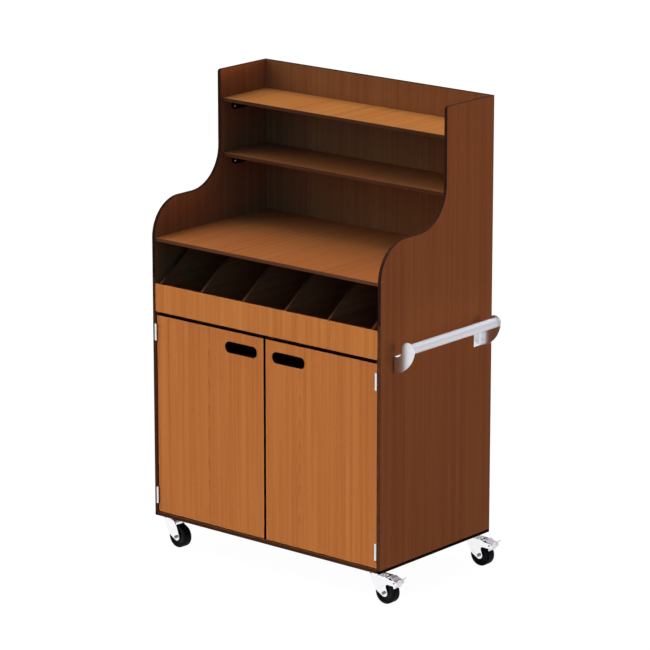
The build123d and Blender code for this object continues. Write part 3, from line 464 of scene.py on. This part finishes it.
# ---------------------------------------------------------------------------
# Doors, with an obround hand slot near the meeting edge
# ---------------------------------------------------------------------------
for word, side, seed, peak in (("left", -1, 17.0, -0.293), ("right", 1, 40.6, 0.108)):
    lo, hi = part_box(word + "_door")
    sx, sz, r, straight = CXM + side * 0.1043, z_(660), 0.019, (0.141 - 0.038) / 2
    slot = arc(sx + straight, sz, r, -90, 90, 28) + arc(sx - straight, sz, r, 90, 270, 28)
    m = laminate(word + "_door_laminate", "Z", "X", seed, centre=peak, figure=0.30)
    board(word + "_door_board", word + "_door", "Y", rectangle(lo[0], hi[0], lo[2], hi[2]), lo[1], hi[1], (m, m), BAND_DOOR_PAINTED_SHADE,
          holes=[slot], arris=0.0009)

# ---------------------------------------------------------------------------
# Hinges, shelf supports, catches
# ---------------------------------------------------------------------------
hinge_zinc = plated("hinge_plating", (0.80, 0.81, 0.80), 0.28, "Z", 1.0, grit=0.4)
for node in ("hinge_frame_leaves", "left_hinge_leaves", "right_hinge_leaves"):
    polish(node + "_soft", node, hinge_zinc, soft=0.00022)
pin_zinc = plated("hinge_pin_plating", (0.78, 0.78, 0.77), 0.26, "", 4.0)
polish("hinge_pins_soft", "hinge_pins", pin_zinc, soft=0.0002)

pad_black = moulded("support_plastic", (0.006, 0.0055, 0.005), 0.55, dust=0.02, spec=0.05)
polish("shelf_supports_soft", "shelf_supports", pad_black, soft=0.0006)
screw_bright = plated("screw_plating", (0.80, 0.80, 0.80), 0.24, "", 9.0)
for node in ("shelf_support_screws", "handle_screws"):
    polish(node + "_soft", node, screw_bright, soft=0.00015)
screw_dull = plated("hidden_screw_plating", (0.66, 0.66, 0.66), 0.34, "", 12.0)
catch_black = moulded("catch_plastic", (0.008, 0.0075, 0.007), 0.55, dust=0.02, spec=0.05)
polish("magnetic_catches_soft", "magnetic_catches", catch_black, soft=0.0007)

# ---------------------------------------------------------------------------
# Push handle
# ---------------------------------------------------------------------------
bar_satin = plated("bar_satin", (0.85, 0.88, 0.89), 0.36, "Y", 2.0, streaks=0.06, stain=(0.81, 0.84, 0.85), metal=0.5, grit=0.5)
bar_lo, bar_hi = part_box("handle_bar")
bar_axis = Vector(((bar_lo.x + bar_hi.x) / 2, bar_lo.y, (bar_lo.z + bar_hi.z) / 2))
bm = lathe([(0.0, 0.0150), (0.0, 0.0166), (0.0004, 0.0170), (bar_hi.y - bar_lo.y - 0.0004, 0.0170), (bar_hi.y - bar_lo.y, 0.0166),
            (bar_hi.y - bar_lo.y, 0.0150)], bar_axis, (0, 1, 0), (1, 0, 0), 96, bmesh.new())
bmesh.ops.recalc_face_normals(bm, faces=bm.faces[:])
for f in bm.faces:
    f.smooth = True
link("handle_bar_tube", bm, [bar_satin], ["handle_bar"]).visible_shadow = False
chrome = plated("bracket_chrome", (0.77, 0.78, 0.80), 0.25, "", 3.0, streaks=0.02, stain=(0.72, 0.73, 0.76), grit=0.15)
for node in ("handle_bracket_front", "handle_bracket_rear"):
    polish(node + "_soft", node, chrome, soft=0.0006, segments=3)

# ---------------------------------------------------------------------------
# Casters
# ---------------------------------------------------------------------------
fork_zinc = plated("fork_plating", (0.92, 0.92, 0.93), 0.15, "", 5.0, grit=0.4)
plate_zinc = plated("top_plate_plating", (0.82, 0.83, 0.84), 0.30, "", 6.0)
nut_zinc = plated("nut_plating", (0.32, 0.32, 0.38), 0.34, "", 7.0, stain=(0.26, 0.26, 0.31))
rivet_dark = plated("rivet_plating", (0.16, 0.16, 0.18), 0.40, "", 13.0, stain=(0.12, 0.12, 0.14))
pedal_zinc = plated("pedal_plating", (0.92, 0.92, 0.94), 0.28, "", 8.0, streaks=0.03, stain=(0.86, 0.87, 0.90), metal=0.6, grit=0.3)
ball_steel = plated("ball_steel", (0.70, 0.70, 0.71), 0.12, "", 10.0)
core_grey = moulded("wheel_core_plastic", (0.009, 0.009, 0.0095), 0.46, grit=700.0, dust=0.05, spec=0.10)
tyre_black = moulded("tyre_rubber", (0.0042, 0.0042, 0.0044), 0.60, grit=520.0, depth=0.25, dust=0.02, spec=0.05)

polish("caster_top_plates_soft", "caster_top_plates", plate_zinc, soft=0.0004)
for corner in ("front_left", "front_right", "rear_left", "rear_right"):
    polish("fork_" + corner + "_soft", "fork_" + corner, fork_zinc, soft=0.0006, segments=3)
    polish("axle_" + corner + "_soft", "axle_" + corner, nut_zinc, soft=0.0003)
    polish("wheel_core_" + corner + "_soft", "wheel_core_" + corner, core_grey, soft=0.0005)
for corner in ("front_right", "rear_right"):
    lo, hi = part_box("brake_pedal_" + corner)
    polish("brake_pedal_" + corner + "_soft", "brake_pedal_" + corner, pedal_zinc, soft=0.0005, segments=3, ends=((lo.y + hi.y) / 2, 0.0195, rivet_dark))

# pieces whose CAD mesh is shown as it is
for node, m in [("tyre_" + c, tyre_black) for c in ("front_left", "front_right", "rear_left", "rear_right")] + [
        ("caster_kingpins", plate_zinc), ("caster_swivel_balls", ball_steel), ("caster_screws", screw_dull),
        ("carcass_dowels", bare_wood("dowel_beech")), ("hinge_frame_screws", screw_dull), ("left_hinge_screws", screw_dull),
        ("right_hinge_screws", screw_dull), ("left_catch_strike", screw_dull), ("right_catch_strike", screw_dull)]:
    NODES[node].data.materials.clear()
    NODES[node].data.materials.append(m)

# ---------------------------------------------------------------------------
# Stage: pale floor, soft studio light, camera
# ---------------------------------------------------------------------------
# the floor is a pale light table: it glows a little, takes a soft shadow, and throws no colour back at the unit
g = Graph("floor_pale")
fx, fy, fz = g.place()
speck = g.noise(g.vec(fx, fy, fz), scale=0.35, detail=2.0)
pale = g.ramp(speck, [(0.3, (0.058, 0.058, 0.058)), (0.7, (0.062, 0.062, 0.062))])
g.set(color=pale, rough=0.9, spec=0.05)
g.bsdf.inputs["Emission Color"].default_value = (1.0, 1.0, 1.0, 1.0)
g.bsdf.inputs["Emission Strength"].default_value = 0.975
me = bpy.data.meshes.new("floor")
me.from_pydata([(-60, -60, 0), (60, -60, 0), (60, 60, 0), (-60, 60, 0)], [], [(0, 1, 2, 3)])
me.materials.append(g.mat)
floor = bpy.data.objects.new("floor", me)
bpy.context.scene.collection.objects.link(floor)
floor.visible_diffuse = False
floor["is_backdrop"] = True


def softbox(name, at, aim, width, height, power, spread=180.0, color=(1.0, 1.0, 1.0)):
    d = bpy.data.lights.new(name, "AREA")
    d.shape = "RECTANGLE"
    d.size, d.size_y = width, height
    d.energy = power
    d.color = color
    d.spread = math.radians(spread)
    o = bpy.data.objects.new(name, d)
    o.location = at
    o.rotation_euler = (Vector(aim) - Vector(at)).to_track_quat("-Z", "Y").to_euler()
    o.visible_glossy = False
    bpy.context.scene.collection.objects.link(o)
    return o


def sky(name, azimuth, height, level, softness=50.0):
    """A broad far light. azimuth is turned from the front towards the right; level is its brightness in red, green and blue.
    It lights the boards but isn't mirrored in the metal, which reflects the floor and the backdrop."""
    a, e = math.radians(azimuth), math.radians(height)
    towards = Vector((math.sin(a) * math.cos(e), -math.cos(a) * math.cos(e), math.sin(e)))
    top = max(level)
    d = bpy.data.lights.new(name, "SUN")
    d.energy = math.pi * top
    d.angle = math.radians(softness)
    d.color = tuple(c / top for c in level)
    o = bpy.data.objects.new(name, d)
    o.rotation_euler = (-towards).to_track_quat("-Z", "Y").to_euler()
    o.visible_glossy = False
    bpy.context.scene.collection.objects.link(o)
    return o


# almost straight at the front and wide enough for both doors when they stand open
softbox("key_front", (-0.1910, -4.5, 0.444), (-0.0445, -0.3059, 0.444), 2.1, 1.008, 6.23, spread=0.4, color=(0.972, 0.841, 0.628))
bar_mid = (bar_lo.y + bar_hi.y) / 2
softbox("bar_strip", (bar_axis.x, bar_mid, 1.35), (bar_axis.x, bar_mid, 0.80), 0.034, bar_hi.y - bar_lo.y, 0.040, spread=2.0, color=(0.92, 0.97, 1.0))
sky("overhead_rear", 180, 80, (0.275, 0.262, 0.270))
sky("overhead_front", 30, 60, (0.006, 0.036, 0.080))
sky("front_left_high", -30, 60, (0.112, 0.115, 0.131))
sky("rear_left_high", -120, 60, (0.262, 0.228, 0.235))
sky("left_mid", -70, 35, (0.257, 0.254, 0.267))
sky("left_low", -80, 15, (0.189, 0.192, 0.196))
sky("front_left_low", -40, 15, (0.082, 0.110, 0.140))
sky("front_low", 10, 15, (0.004, 0.022, 0.056))
sky("front_right_low", 40, 15, (0.006, 0.060, 0.148))
for n, azimuth in enumerate((92, 102, 115)):
    sky("right_strip_%d" % n, azimuth, 1, (0.118, 0.080, 0.067), softness=8.0)
sky("back_fill", 176, 6, (0.34, 0.33, 0.33), softness=10.0)

# white to the eye and in polished metal, dim as a light on the boards
world = bpy.data.worlds.new("studio")
bpy.context.scene.world = world
world.use_nodes = True
wt = world.node_tree
backdrop = wt.nodes["Background"]
path = wt.nodes.new("ShaderNodeLightPath")
level = wt.nodes.new("ShaderNodeMix")
level.data_type = "RGBA"
white, dim = [k for k in level.inputs if k.type == "RGBA"]
white.default_value = (0.57, 0.57, 0.58, 1.0)
dim.default_value = (0.062, 0.028, 0.051, 1.0)
wt.links.new(path.outputs["Is Diffuse Ray"], level.inputs[0])
wt.links.new(next(k for k in level.outputs if k.type == "RGBA"), backdrop.inputs["Color"])
world.cycles.sampling_method = "NONE"

cam_data = bpy.data.cameras.new("photo_camera")
cam_data.sensor_width = 36.0
cam_data.lens = 203.55
cam = bpy.data.objects.new("photo_camera", cam_data)
cam.location = (7.69244, -9.19377, 4.02420)
cam.rotation_euler = Euler((math.radians(75.0322), 0.0, math.radians(40.0076)), "XYZ")
bpy.context.scene.collection.objects.link(cam)
bpy.context.scene.camera = cam
bpy.context.scene.view_settings.view_transform = "Standard"

lo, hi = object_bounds()
